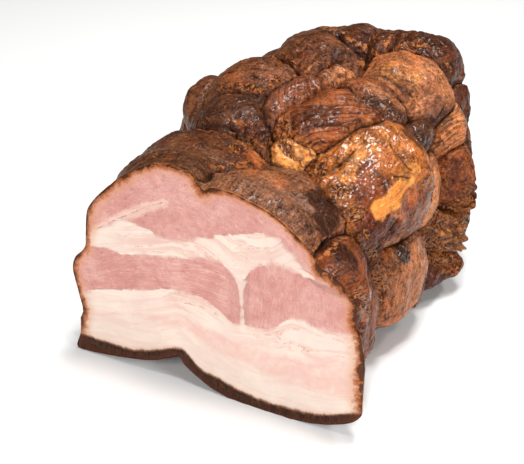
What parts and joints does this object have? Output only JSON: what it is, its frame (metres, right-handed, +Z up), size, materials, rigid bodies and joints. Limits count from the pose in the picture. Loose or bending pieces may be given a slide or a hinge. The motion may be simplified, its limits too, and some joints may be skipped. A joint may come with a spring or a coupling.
{
  "type": "pork belly slab",
  "caption": "Net-roasted slab of pork belly with a browned, pillowed crust, cut flat at the front to show lean, fat and rind.",
  "frame": {"origin": "middle of the slab's box on the table plane, under the meat", "axes": "+Z up, the flat cut looks along -Y, +X to the right of the cut, the slab lies on its rind"},
  "size_m": [0.1538, 0.2226, 0.1307],
  "materials": {
    "roast_pork": "browned and slightly greasy crust; the cut face is rosy lean between cream fat over a dark rind"
  },
  "bodies": {
    "root": {"pork_belly": "roast_pork"}
  },
  "joints": []
}
